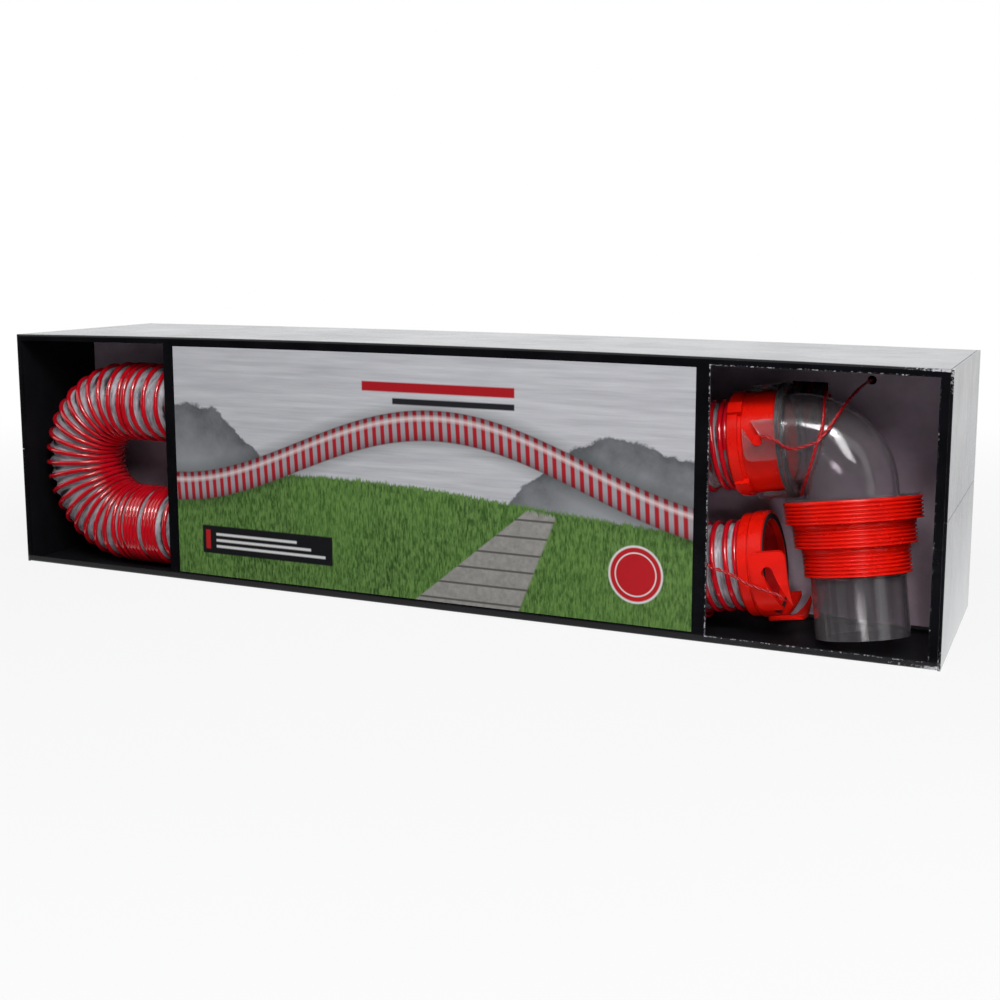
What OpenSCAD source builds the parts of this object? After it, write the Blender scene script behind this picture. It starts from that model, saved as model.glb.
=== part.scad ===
// Sewer hose kit: two ribbed drain hoses with swivelling end fittings, a clear
// elbow with a stepped thread adapter and two drip caps, in a windowed carton.
// Frame: origin at the centre of the carton's base, +X along the carton to the
// elbow, -Y the front with the two windows, +Z up. Millimetres.

/* [Carton] */
// Length of the carton
carton_l = 934; // [930:1:946]
// Depth of the carton, front to back
carton_d = 214; // [214:1:222]
// Height of the carton
carton_h = 240; // [239:1:248]
// Thickness of the card
card_t = 2.5; // [1.5:0.25:2.5]
// Length of the left window
left_window_l = 181; // [170:1:190]
// Length of the right window
right_window_l = 183; // [176:1:186]
// Strip of card left above and below each window
window_lip = 6.5; // [5:0.5:9]
// Strip of card left at the carton's left end
left_lip = 5; // [5:0.5:8]
// Strip of card left at the carton's right end
right_lip = 10; // [8:0.5:11]

/* [Hoses] */
// Radius of a hose over its beads
bead_r = 40.5; // [39.5:0.25:40.5]
// Radius of a hose between its beads
web_r = 37.5; // [37.5:0.25:38]
// Radius of a hose's bore
hose_bore_r = 36.4; // [36:0.1:36.6]
// Radius of the hose's bend at its centre line
bend_r = 64.25; // [60:0.25:64.25]
// Beads round the bend
bend_beads = 18; // [14:1:24]
// Spacing of the beads on the straight legs
bead_pitch = 14; // [11:0.5:16]

/* [Elbow and adapter] */
// Outer radius of the elbow's tube
tube_r = 39; // [39:0.25:39]
// Wall of the elbow's tube
tube_wall = 3; // [2:0.25:4]
// Radius of the elbow's bend at its centre line
elbow_bend_r = 43; // [41:0.5:44]
// Length of the outlet from the elbow's corner to its rim
outlet_l = 168; // [160:1:168]
// Rise of the elbow's inlet towards the carton's end
elbow_tilt = 8; // [7:0.1:8]
// Swing of the elbow's outlet towards the front
elbow_swing = 8.2; // [6:0.1:8.5]
// Outer radii of the adapter's threads, widest first
thread_r = [57.15, 50.8, 44.45];
// Heights of the adapter's threaded steps, widest first
thread_h = [18.6, 19.9, 24.1];
// Pitch of the adapter's threads
thread_pitch = 3.175; // [2.5:0.025:3.5]
// Turns of thread on each step, below its plain land
thread_turns = [5, 5, 6];

/* [End fittings] */
// Outer radius of the lug fitting's barrel
lug_barrel_r = 43.5; // [43:0.25:43.5]
// Radius over the bayonet ears
ear_r = 49.5; // [49:0.25:49.5]
// Thickness of a bayonet ear
ear_t = 3.5; // [3:0.25:3.5]
// Radius of a lug pin
pin_r = 4.5; // [4:0.25:4.5]
// Lean of the front hose's lower end
lower_tilt = 9; // [8:0.5:9]

/* [Ties] */
// Thickness of the coated tie wire
tie_d = 3; // [2:0.5:3]

/* [Hidden] */
$fn = 96;

// Carton: the end flaps lie outside the dust flaps, with a sheet's play
play = 0.2;
half_l = carton_l / 2;
front_y = -carton_d / 2;
back_y = carton_d / 2;
flap_x = half_l - card_t;
panel_half = flap_x - play;
flap_seam = 1.2;
inner_half = panel_half - card_t;
print_margin = 12;
print_t = 0.3;
window_top = carton_h - window_lip;

// Rows: the elbow's ears clear the divider, and its adapter, swung forwards,
// stands a little out of the window
upper_row_y = front_y + 57.3;
lower_row_y = front_y + 50.7;
ear_gap = 2.2;
divider_y = upper_row_y + ear_r + ear_gap;
rear_row_y = (divider_y + card_t + back_y - card_t) / 2;

// Divider: a square hand hole, a tie hole and a foot folded forwards
hand_hole_x = half_l - 149;
hand_hole_w = 32;
hand_hole_z = 178;
hand_hole_h = 37;
tie_hole = [half_l - 79.5, divider_y, 218.7];
tie_hole_r = 4;
foot_w = 10;
foot_l = 128;

// Elbow: its corner is where the axes of its inlet and outlet cross
elbow_corner = [half_l - 89.8, upper_row_y, 176.8];
flange_l = 6;
inlet_face = 50;
elbow_ear_l = 27;
elbow_ear_half = 17;
collar_r = 55.5;
collar_l = 2;
seal_proud = 0.6;
seal_depth = 1.6;
adapter_top = 53.3;
adapter_wall = 3.5;
adapter_play = 0.08;
keeper_h = 0.8;
keeper_gap = 0.1;
keeper_half = 1.3;

// End fittings
swivel_r = 37.2;
swivel_play = 0.08;
fitting_play = 0.3;
cuff_flange = 2.2;
cuff_flange_r = 40;
cuff_insert = 32;
cuff_insert_r = 33.4;
cuff_bore_r = 31;
cuff_sleeve_bore_r = 34.2;
snap_r = 38;
lug_l = 41.4;
lug_grip_l = 12;
lug_grip_r = 45.5;
nub_r = 48.5;
nub_w = 11;
nub_angle = 38;
pin_reach = 48.8;
pin_back = 14.4;
slot_r = pin_r + 0.5;
slot_half = pin_r + 0.2;
bayonet_l = 22;
bayonet_ear_l = 21;
bayonet_ear_half = 26;
bayonet_ear_angles = [-10, -100];
bayonet_ring_r = 45.6;
ear_bore_r = ear_r - ear_t;
ear_corner = 7;
lug_snap_at = 18;
bayonet_snap_at = 9;

// Hose ends, each square to the fitting that it meets
sleeve_gap = cuff_flange + fitting_play;
lug_hose_back = inlet_face + seal_proud + lug_l + sleeve_gap;
lower_mouth = [half_l - 146, lower_row_y, 63.2];
lower_hose_back = bayonet_l + sleeve_gap;
upper_dir = [cos(elbow_tilt), 0, sin(elbow_tilt)];
lower_dir = [cos(lower_tilt), 0, sin(lower_tilt)];
upper_end = elbow_corner - lug_hose_back * upper_dir;
lower_end = lower_mouth - lower_hose_back * lower_dir;
straight_l = 82;
leg_low_z = card_t + bead_r;
leg_top_z = leg_low_z + 2 * bend_r;
bend_x = -half_l + 2 * card_t + 2 * play + bead_r + bend_r;
bend_y = front_y + card_t + 4 * play + bead_r;
rear_mouth_x = half_l - 66;
rear_low_z = card_t + ear_r + 2 * play;
rear_lug_x = rear_mouth_x - lug_l - sleeve_gap;
rear_bayonet_x = rear_mouth_x - bayonet_l - sleeve_gap;
hose_sides = 8;
rear_sides = 12;
curve_points = 80;

// ---- vectors and routes ----
function unit(v) = v / norm(v);
function bezier(a, b, c, d, t) =
    pow(1 - t, 3) * a + 3 * t * pow(1 - t, 2) * b + 3 * t * t * (1 - t) * c + t * t * t * d;
function on_line(a, b, n) = [for (k = [0 : n - 1]) a + (b - a) * k / n];
function distances(points) = [
    for (i = 0, s = 0; i < len(points);
         s = s + (i + 1 < len(points) ? norm(points[i + 1] - points[i]) : 0), i = i + 1) s
];
function evenly(points, n) =
    let (s = distances(points), whole = s[len(s) - 1])
        [for (k = [0 : n - 1]) [
            for (axis = [0 : 2])
                lookup(whole * k / n, [for (i = [0 : len(points) - 1]) [s[i], points[i][axis]]])
        ]];
function on_bezier(a, b, c, d, n) =
    evenly([for (k = [0 : curve_points]) bezier(a, b, c, d, k / curve_points)], n);
function on_bend(y, n) = [
    for (k = [0 : n - 1])
        let (t = 90 + 180 * k / n)
            [bend_x + bend_r * cos(t), y, leg_low_z + bend_r + bend_r * sin(t)]
];

// One hose: in from the upper fitting, left along the top leg, round the bend
// and back along the floor to the lower fitting. steps counts the points in
// its straight, sweeping, bent, sweeping and straight stretches.
function hose_route(top, top_dir, low, low_dir, y, steps) =
    let (
        a = top - straight_l * top_dir,
        d = low - straight_l * low_dir,
        bend_top = [bend_x, y, leg_top_z],
        bend_low = [bend_x, y, leg_low_z],
        sag = (a[0] - bend_x) / 4,
        lift = (d[2] - leg_low_z) / max(low_dir[2], 0.1)
    )
    concat(
        on_line(top, a, steps[0]),
        on_bezier(a, a - sag * top_dir, bend_top + [2 * sag, 0, 0], bend_top, steps[1]),
        on_bend(y, steps[2]),
        on_bezier(bend_low, bend_low + [2 * sag, 0, 0], d - max(lift, sag * (1 - sign(lift))) * low_dir,
                  d, steps[3]),
        on_line(d, low, steps[4]),
        [low]
    );

function tangent(route, i) =
    unit(route[min(i + 1, len(route) - 1)] - route[max(i - 1, 0)]);
function side(t, across) = unit(across - (across * t) * t);
function ring(route, i, r, sides, across = [0, 1, 0]) =
    let (t = tangent(route, i), s = side(t, across), u = cross(s, t))
        [for (k = [0 : sides - 1]) route[i] + r * (cos(360 * k / sides) * s + sin(360 * k / sides) * u)];

// Triangles between two rings of points whose first indices are a and b
function band(a, b, sides, flip = false) = [
    for (k = [0 : sides - 1])
        let (n = (k + 1) % sides)
            each flip ? [[a + k, b + k, b + n], [a + k, b + n, a + n]]
                      : [[a + k, b + n, b + k], [a + k, a + n, b + n]]
];

// A hose wall along a route: even points are webs, odd points are beads
module hose_wall(route, bead, web, bore, sides) {
    n = len(route);
    m = floor((n + 1) / 2);
    skin = [for (i = [0 : n - 1]) each ring(route, i, i % 2 == 0 ? web : bead, sides)];
    lining = [for (j = [0 : m - 1]) each ring(route, 2 * j, bore, sides)];
    inner = n * sides;
    faces = concat(
        [for (i = [0 : n - 2]) each band(i * sides, (i + 1) * sides, sides)],
        [for (j = [0 : m - 2]) each band(inner + j * sides, inner + (j + 1) * sides, sides, true)],
        band(0, inner, sides, true),
        band((n - 1) * sides, inner + (m - 1) * sides, sides)
    );
    polyhedron(concat(skin, lining), faces, convexity = 10);
}

// A solid wire along a route that is nowhere parallel to across
module wire(route, d, across, sides = 6) {
    n = len(route);
    ends = [
        for (i = [1 : sides - 2]) [0, i + 1, i],
        for (i = [1 : sides - 2]) [(n - 1) * sides, (n - 1) * sides + i, (n - 1) * sides + i + 1]
    ];
    polyhedron(
        [for (i = [0 : n - 1]) each ring(route, i, d / 2, sides, across)],
        concat([for (i = [0 : n - 2]) each band(i * sides, (i + 1) * sides, sides)], ends),
        convexity = 4
    );
}

// ---- turned shapes along X ----
// A profile of [radius, x] points turned about the X axis
module turned(profile) rotate([0, 90, 0]) rotate_extrude() polygon(profile);

// A slice of a turned ring between two angles, 0 in front and 90 on top
module ring_slice(r1, r2, x1, x2, low, high)
    rotate([-(high + 90), 0, 0]) rotate([0, 90, 0])
        rotate_extrude(angle = high - low)
            polygon([[r1, x1], [r2, x1], [r2, x2], [r1, x2]]);

module round_plate(l, w, corner) {
    square([l - 2 * corner, w], center = true);
    square([l, w - 2 * corner], center = true);
    for (x = [-1, 1], y = [-1, 1])
        translate([x * (l / 2 - corner), y * (w / 2 - corner)]) circle(corner, $fn = 24);
}

// Stands its child, drawn flat, in the plane in front and pulls it outwards
module facing_front() rotate([90, 0, 0]) linear_extrude(ear_r + 10) children();

// A bayonet ear of outer radius r in front of the axis from x1 to x2, with a
// cam slot that runs from its seat at slant degrees to the ear's open edge
module bayonet_ear(r, x1, x2, half, seat_x, seat_z, slant) {
    difference() {
        intersection() {
            turned([[ear_bore_r, x1], [r, x1], [r, x2], [ear_bore_r, x2]]);
            translate([(x1 + x2) / 2, 0, 0]) facing_front() round_plate(x2 - x1, 2 * half, ear_corner);
        }
        translate([seat_x, 0, seat_z]) facing_front() circle(slot_r, $fn = 32);
        translate([seat_x, 0, seat_z]) facing_front() rotate(slant)
            translate([0, -slot_half]) square([40, 2 * slot_half]);
    }
}

module around_x(angle) rotate([-angle, 0, 0]) children();

// ---- shared end-fitting shapes, each from its hose side at x = 0 ----
// The cuff is bonded into the hose; its sleeve carries the swivelling fitting
module cuff(sleeve_l, snap_at) {
    tip = cuff_flange + sleeve_l;
    snap = cuff_flange + snap_at;
    turned([
        [cuff_bore_r, -cuff_insert], [cuff_insert_r, -cuff_insert], [cuff_insert_r, 0],
        [cuff_flange_r, 0], [cuff_flange_r, cuff_flange], [swivel_r, cuff_flange],
        [swivel_r, snap - 0.5], [snap_r, snap], [snap_r, snap + 2], [swivel_r, snap + 2.5],
        [swivel_r, tip], [cuff_sleeve_bore_r, tip], [cuff_sleeve_bore_r, 0], [cuff_bore_r, -3]
    ]);
}

// The swivel bore of a fitting with a groove for the cuff's snap bead
module swivel_bore(l, snap_at) {
    bore = swivel_r + swivel_play;
    groove = snap_at - fitting_play;
    turned([
        [0, -1], [bore, -1], [bore, groove - 1], [snap_r + swivel_play, groove - 0.4],
        [snap_r + swivel_play, groove + 2.4], [bore, groove + 3], [bore, l + 1], [0, l + 1]
    ]);
}

module lug_fitting() {
    pin_x = lug_l - pin_back;
    difference() {
        union() {
            turned([
                [30, 0], [lug_grip_r - 1, 0], [lug_grip_r, 1], [lug_grip_r, lug_grip_l - 3],
                [lug_barrel_r - 0.8, lug_grip_l - 2.5], [lug_barrel_r - 0.8, lug_grip_l],
                [lug_barrel_r, lug_grip_l + 0.8], [lug_barrel_r, lug_l - 1],
                [lug_barrel_r - 1, lug_l], [30, lug_l]
            ]);
            for (k = [0 : 3]) {
                around_x(nub_angle + 90 * k)
                    ring_slice(40, nub_r, 1.5, lug_grip_l + 1.5, -nub_w / 1.7, nub_w / 1.7);
                around_x(90 * k) translate([pin_x, -40, 0]) rotate([90, 0, 0])
                    cylinder(h = pin_reach - 40, r = pin_r, $fn = 48);
            }
        }
        swivel_bore(lug_l, lug_snap_at);
    }
}

module bayonet_fitting() {
    difference() {
        union() {
            turned([
                [30, 0], [43.7, 0], [44.5, 0.8], [44.5, 8.5], [43.3, 8.5], [43.3, 9.5],
                [bayonet_ring_r - 0.6, 9.5], [bayonet_ring_r, 10.1], [bayonet_ring_r, 21.2],
                [bayonet_ring_r - 0.8, bayonet_l], [30, bayonet_l]
            ]);
            for (a = bayonet_ear_angles) around_x(a) {
                bayonet_ear(ear_r, 13, bayonet_l + bayonet_ear_l, bayonet_ear_half,
                            bayonet_l + 5, 10, -72);
                ring_slice(42, ear_r - 1, 15, bayonet_l - 1, -26, 26);
            }
        }
        swivel_bore(bayonet_l, bayonet_snap_at);
        seal_groove(bayonet_l - seal_depth, bayonet_l + 1);
    }
}

module seal_groove(x1, x2) turned([[38.4, x1], [42.8, x1], [42.8, x2], [38.4, x2]]);

// A flat ring gasket that fills its groove and stands a little proud of it
module gasket(x) turned([
    [38.4, x - seal_depth], [42.8, x - seal_depth], [42.8, x + seal_proud - 0.3],
    [42.4, x + seal_proud], [38.8, x + seal_proud], [38.4, x + seal_proud - 0.3]
]);

// ---- carton ----
module carton_bottom() color("#151518")
    translate([-panel_half, front_y, 0]) cube([2 * panel_half, carton_d, card_t]);

module carton_top() color("#151518")
    translate([-panel_half, front_y, carton_h - card_t]) cube([2 * panel_half, carton_d, card_t]);

module carton_wall(y)
    translate([-panel_half, y, card_t]) cube([2 * panel_half, card_t, carton_h - 2 * card_t]);

module carton_back() color("#151518") carton_wall(back_y - card_t);

module carton_front() color("#151518")
    difference() {
        carton_wall(front_y);
        translate([-half_l + left_lip, front_y - 1, window_lip])
            cube([left_window_l, card_t + 2, window_top - window_lip]);
        translate([half_l - right_lip - right_window_l, front_y - 1, window_lip])
            cube([right_window_l, card_t + 2, window_top - window_lip]);
    }

module front_print() color("#8fa38a") {
    x1 = -half_l + left_lip + left_window_l + print_margin;
    x2 = half_l - right_lip - right_window_l - print_margin;
    translate([x1, front_y - print_t, 8.5]) cube([x2 - x1, print_t, carton_h - 17]);
}

// An outer end flap, half of the end, on the right side
module end_flap(z1, z2) translate([flap_x, front_y, z1]) cube([card_t, carton_d, z2 - z1]);

module right_top_flap() color("#1c1c20") end_flap(carton_h / 2 + flap_seam / 2, carton_h);
module right_bottom_flap() color("#1c1c20") end_flap(0, carton_h / 2 - flap_seam / 2);
module left_top_flap() mirror([1, 0, 0]) right_top_flap();
module left_bottom_flap() mirror([1, 0, 0]) right_bottom_flap();

// A dust flap behind the end flaps, on the right side, from y1 to y2
module dust_flap(y1, y2) color("#151518")
    translate([inner_half, y1, card_t + play])
        cube([card_t, y2 - y1, carton_h - 2 * (card_t + play)]);

module right_front_dust_flap() dust_flap(front_y + card_t, -play);
module right_back_dust_flap() dust_flap(play, back_y - card_t);
module left_front_dust_flap() mirror([1, 0, 0]) right_front_dust_flap();
module left_back_dust_flap() mirror([1, 0, 0]) right_back_dust_flap();

module divider() color("#77757f")
    difference() {
        translate([-inner_half + play, divider_y, card_t])
            cube([2 * (inner_half - play), card_t, carton_h - 2 * card_t]);
        translate([hand_hole_x, divider_y - 1, hand_hole_z])
            cube([hand_hole_w, card_t + 2, hand_hole_h]);
        translate(tie_hole + [0, -1, 0]) rotate([-90, 0, 0])
            cylinder(h = card_t + 2, r = tie_hole_r, $fn = 32);
    }

module divider_foot() color("#17171a")
    translate([inner_half - 3 - foot_l, divider_y - foot_w, card_t]) cube([foot_l, foot_w, card_t]);

// ---- front hose and its fittings ----
module at_upper_end() translate(upper_end) rotate([0, -elbow_tilt, 0]) children();
module at_lower_end() translate(lower_end) rotate([0, -lower_tilt, 0]) children();
module at_elbow() translate(elbow_corner) rotate([0, -elbow_tilt, 0]) around_x(elbow_swing) children();

leg_beads = round((upper_end[0] - straight_l - bend_x) / bead_pitch);
end_beads = round(straight_l / bead_pitch);
front_steps = 2 * [end_beads, leg_beads, bend_beads, leg_beads + 1, end_beads];
front_route = hose_route(upper_end, upper_dir, lower_end, lower_dir, bend_y, front_steps);

module front_hose() color("#c8202a")
    hose_wall(front_route, bead_r, web_r, hose_bore_r, hose_sides);

module front_lug_cuff() color("#c8202a")
    at_upper_end() cuff(lug_l - 8, lug_snap_at);
module front_bayonet_cuff() color("#c8202a")
    at_lower_end() cuff(bayonet_l - 5, bayonet_snap_at);
module front_lug_fitting() color("#e2301c")
    at_upper_end() around_x(elbow_swing) translate([sleeve_gap, 0, 0]) lug_fitting();
module front_bayonet_fitting() color("#e2301c")
    at_lower_end() translate([sleeve_gap, 0, 0]) bayonet_fitting();
module front_bayonet_seal() color("#222226")
    at_lower_end() translate([sleeve_gap, 0, 0]) gasket(bayonet_l);

// ---- elbow and adapter ----
module elbow_wall(r, over) {
    translate([-inlet_face - over, 0, 0]) rotate([0, 90, 0])
        cylinder(h = inlet_face + over - elbow_bend_r, r = r);
    translate([-elbow_bend_r, 0, -elbow_bend_r]) rotate([90, 0, 0])
        rotate_extrude(angle = 90) translate([elbow_bend_r, 0]) circle(r);
    translate([0, 0, -outlet_l - over]) cylinder(h = outlet_l + over - elbow_bend_r, r = r);
}

module elbow() color("#c9d2d6", 0.35) at_elbow()
    difference() {
        union() {
            elbow_wall(tube_r, 0);
            turned([[30, -inlet_face], [ear_r - 0.5, -inlet_face], [ear_r, -inlet_face + 0.5],
                    [ear_r, -inlet_face + flange_l - 1.5], [ear_r - 1.5, -inlet_face + flange_l],
                    [30, -inlet_face + flange_l]]);
            translate([0, 0, -adapter_top]) cylinder(h = collar_l, r = collar_r);
            translate([0, 0, step_top(3) - keeper_gap - keeper_half]) rotate_extrude()
                polygon([[tube_r - 1, -keeper_half - 1], [tube_r + keeper_h, -0.4],
                         [tube_r + keeper_h, 0.4], [tube_r - 1, keeper_half + 1]]);
            for (k = [0 : 3]) around_x(90 * k)
                bayonet_ear(ear_r - 0.3, -inlet_face - elbow_ear_l, -inlet_face + 3,
                            elbow_ear_half, -inlet_face - seal_proud - pin_back, 0, 122);
        }
        elbow_wall(tube_r - tube_wall, 1);
        seal_groove(-inlet_face - 1, -inlet_face + seal_depth);
    }

module elbow_seal() color("#222226") at_elbow() mirror([1, 0, 0]) gasket(inlet_face);

// One threaded step as [radius, z] points from its top down
function thread_points(r, top, h, n) =
    let (land = h - n * thread_pitch)
    concat(
        [[r - 0.3, top], [r, top - 0.3], [r, top - land]],
        [for (k = [0 : n - 1]) let (z = top - land - k * thread_pitch)
            each [[r - 1.5, z - 0.35 * thread_pitch], [r - 1.5, z - 0.5 * thread_pitch],
                  [r, z - 0.85 * thread_pitch], [r, z - thread_pitch]]]
    );

function step_top(i) = i == 0 ? -adapter_top : step_top(i - 1) - thread_h[i - 1];

// The adapter is a stepped cup under the elbow's collar, whose bottom step is
// solid, runs on the outlet and is held by the outlet's keeper bead below it
module thread_adapter() color("#e2301c") at_elbow() {
    bore = tube_r + adapter_play;
    bottom = step_top(3);
    wide = thread_r[0] - adapter_wall;
    narrow = thread_r[1] - adapter_wall;
    rotate_extrude() polygon(concat(
        thread_points(thread_r[0], step_top(0), thread_h[0], thread_turns[0]),
        thread_points(thread_r[1], step_top(1), thread_h[1], thread_turns[1]),
        thread_points(thread_r[2], step_top(2), thread_h[2], thread_turns[2]),
        [[bore, bottom], [bore, step_top(2) + adapter_wall],
         [narrow, step_top(2) + adapter_wall], [narrow, step_top(1) + adapter_wall],
         [wide, step_top(1) + adapter_wall], [wide, step_top(0)]]
    ));
}

// ---- rear hose and its fittings, behind the divider ----
rear_steps = [2, 10, 20, 10, 2];
rear_route = hose_route([rear_lug_x, rear_row_y, leg_top_z], [1, 0, 0],
                        [rear_bayonet_x, rear_row_y, rear_low_z], [1, 0, 0], rear_row_y, rear_steps);

module rear_hose() color("#c8202a")
    hose_wall(rear_route, web_r + 1, web_r + 1, hose_bore_r, rear_sides);

module at_rear_lug() translate([rear_lug_x, rear_row_y, leg_top_z]) children();
module at_rear_bayonet() translate([rear_bayonet_x, rear_row_y, rear_low_z]) children();

module rear_lug_cuff() color("#c8202a") at_rear_lug() cuff(lug_l - 8, lug_snap_at);
module rear_bayonet_cuff() color("#c8202a") at_rear_bayonet() cuff(bayonet_l - 5, bayonet_snap_at);
module rear_lug_fitting() color("#e2301c")
    at_rear_lug() translate([sleeve_gap, 0, 0]) lug_fitting();
module rear_bayonet_fitting() color("#e2301c")
    at_rear_bayonet() translate([sleeve_gap, 0, 0]) bayonet_fitting();
module rear_bayonet_seal() color("#222226")
    at_rear_bayonet() translate([sleeve_gap, 0, 0]) gasket(bayonet_l);

// The cap over the lug fitting: a dished disc with ears and level slots
cap_t = 4;
cap_gap = 0.3;
module bayonet_drip_cap() color("#1b1b1e")
    at_rear_lug() translate([sleeve_gap, 0, 0]) {
        face = lug_l + cap_gap;
        pin_x = lug_l - pin_back;
        turned([[0, face], [ear_r, face], [ear_r, face + cap_t - 1], [ear_r - 1, face + cap_t],
                [30, face + cap_t], [27, face + 2], [0, face + 2]]);
        for (k = [0 : 3])
            difference() {
                ring_slice(ear_bore_r, ear_r - 0.3, lug_grip_l + 4, face + 1, 90 * k - 20, 90 * k + 20);
                around_x(90 * k) translate([pin_x, 0, 0]) facing_front() circle(slot_r, $fn = 32);
                ring_slice(ear_bore_r - 1, ear_r + 1, pin_x - slot_half, pin_x + slot_half,
                           90 * k, 90 * k + 21);
            }
    }

// The cap in the bayonet fitting: a shallow cup with two lug pins
module lug_drip_cap() color("#1b1b1e")
    at_rear_bayonet() translate([sleeve_gap + bayonet_l + seal_proud, 0, 0]) {
        cup_l = 10;
        difference() {
            union() {
                turned([[0, 0], [lug_barrel_r, 0], [lug_barrel_r, cup_l - 1],
                        [lug_barrel_r - 1, cup_l], [0, cup_l]]);
                for (a = bayonet_ear_angles)
                    around_x(a) translate([5 - seal_proud, -40, 10]) rotate([90, 0, 0])
                        cylinder(h = 7.4, r = pin_r, $fn = 48);
            }
            turned([[0, 3], [36, 3], [38, cup_l + 1], [0, cup_l + 1]]);
        }
    }

// ---- wire ties ----
// The upper tie comes through the divider, twists in front of the elbow and
// goes round the elbow's bend and over the lug fitting's ear. Points are given
// as distances from the carton's right end, front and floor.
function from_end(points) = [for (p = points) [half_l - p[0], front_y + p[1], p[2]]];
tie_knot = [106.2, 14.4, 175.4];
tie_anchor = concat(
    [tie_hole + [0, 9, 0], tie_hole + [0, 1, 0], tie_hole + [-1, -5, 0]],
    from_end([[81.5, 95, 217.5], [83.5, 76, 215], [86.5, 55.6, 210], [90.7, 36, 201.6],
              [97.2, 20.8, 188.4], tie_knot])
);
tie_loop = from_end([
    tie_knot, [103.7, 18.2, 185.6], [103.8, 25.8, 196.4], [105.4, 35.2, 204.5], [107, 47.3, 209.8],
    [108.2, 61.9, 210.9], [109.4, 79.1, 205], [111.9, 92, 192.5], [115.2, 98.6, 176.5],
    [118.7, 97.6, 159.7], [121.8, 90, 144.8], [124, 77.1, 134.1], [125, 61.5, 129],
    [124.6, 47.9, 125.3], [121, 32.7, 130.5], [115.5, 21, 143.7], [110, 14.6, 160.2], tie_knot
]);
tie_tail = from_end([
    tie_knot, [115, 13.8, 172], [124.6, 13, 168.8], [129, 10, 169.4], [131.8, 6, 171.4],
    [134.5, 5.2, 173.6], [139.5, 5, 176.6], [147, 5.6, 178.8], [152, 7, 178.8]
]);

module upper_tie() color("#c01a22") {
    wire(tie_anchor, tie_d, [1, 0, 0]);
    wire(tie_loop, tie_d, [1, 0, 0]);
    wire(tie_tail, tie_d, [0, 1, 0]);
    translate(tie_loop[0]) sphere(tie_d, $fn = 12);
}

// The lower tie goes round the hose behind the front panel and on to the ear
lower_loop_at = 38;
lower_loop_r = bead_r + tie_d / 2 + 1;
lower_loop = [
    for (k = [0 : 16])
        let (a = -20 - 360 * k / 16)
            lower_end - (lower_loop_at + (tie_d + 1) * k / 16) * lower_dir
                + lower_loop_r * [-sin(a) * sin(lower_tilt), -cos(a), sin(a) * cos(lower_tilt)]
];
lower_strand = concat([lower_loop[0]], from_end([
    [195.5, 6.6, 65.1], [189.9, 5.6, 64.6], [178.5, 4.2, 62.6], [169.3, 2.6, 59.5],
    [159.8, 0.6, 56], [153.5, -0.3, 54], [144.8, -0.9, 51.9], [131.3, -0.9, 48.7],
    [128, 0, 45.5], [126.8, 6, 42.5]
]));

module lower_tie() color("#c01a22") {
    wire(lower_loop, tie_d, lower_dir);
    wire(lower_strand, tie_d, [0, 1, 0]);
}

// Least gap between the front hose's two legs, which never touch
upper_low = min([for (p = front_route) if (p[2] > leg_low_z + bend_r && p[0] > bend_x) p[2]]);
lower_high = max([for (p = front_route) if (p[2] < leg_low_z + bend_r && p[0] > bend_x) p[2]]);
echo(front_hose_beads = (len(front_route) - 1) / 2, least_gap = upper_low - lower_high - 2 * bead_r);

carton_bottom();
carton_top();
carton_back();
carton_front();
front_print();
left_top_flap();
left_bottom_flap();
right_top_flap();
right_bottom_flap();
left_front_dust_flap();
left_back_dust_flap();
right_front_dust_flap();
right_back_dust_flap();
divider();
divider_foot();
front_hose();
front_lug_cuff();
front_bayonet_cuff();
front_lug_fitting();
front_bayonet_fitting();
front_bayonet_seal();
elbow();
elbow_seal();
thread_adapter();
rear_hose();
rear_lug_cuff();
rear_bayonet_cuff();
rear_lug_fitting();
rear_bayonet_fitting();
rear_bayonet_seal();
bayonet_drip_cap();
lug_drip_cap();
upper_tie();
lower_tie();
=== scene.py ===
import math

import bmesh
import bpy
from mathutils import Matrix, Vector, noise


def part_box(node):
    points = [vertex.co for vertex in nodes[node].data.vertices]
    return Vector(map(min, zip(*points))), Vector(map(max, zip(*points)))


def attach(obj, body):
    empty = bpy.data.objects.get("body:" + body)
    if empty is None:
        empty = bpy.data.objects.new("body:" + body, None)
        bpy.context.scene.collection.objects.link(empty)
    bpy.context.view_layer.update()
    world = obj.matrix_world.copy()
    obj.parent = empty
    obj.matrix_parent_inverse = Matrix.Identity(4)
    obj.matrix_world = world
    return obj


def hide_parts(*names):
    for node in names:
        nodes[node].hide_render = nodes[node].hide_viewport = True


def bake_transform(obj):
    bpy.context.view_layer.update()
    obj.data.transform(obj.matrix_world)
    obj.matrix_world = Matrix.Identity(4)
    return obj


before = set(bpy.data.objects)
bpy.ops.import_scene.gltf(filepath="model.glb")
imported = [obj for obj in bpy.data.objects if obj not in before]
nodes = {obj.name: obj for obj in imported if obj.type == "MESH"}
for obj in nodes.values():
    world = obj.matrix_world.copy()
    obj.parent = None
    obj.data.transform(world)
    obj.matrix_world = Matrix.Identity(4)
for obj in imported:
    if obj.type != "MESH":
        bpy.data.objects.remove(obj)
scene = bpy.context.scene
scene.view_settings.view_transform = "Standard"
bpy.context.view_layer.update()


# ---- Camera ----
# It stands off the carton's right end, a little above the lid, and looks back
# along the printed front.
CAMERA_PLACE = Vector((0.578, -1.183, 0.3357))
CAMERA_TURN = math.radians(23.06)
CAMERA_DIP = math.radians(8.21)
CAMERA_ROLL = math.radians(0.18)

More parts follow.
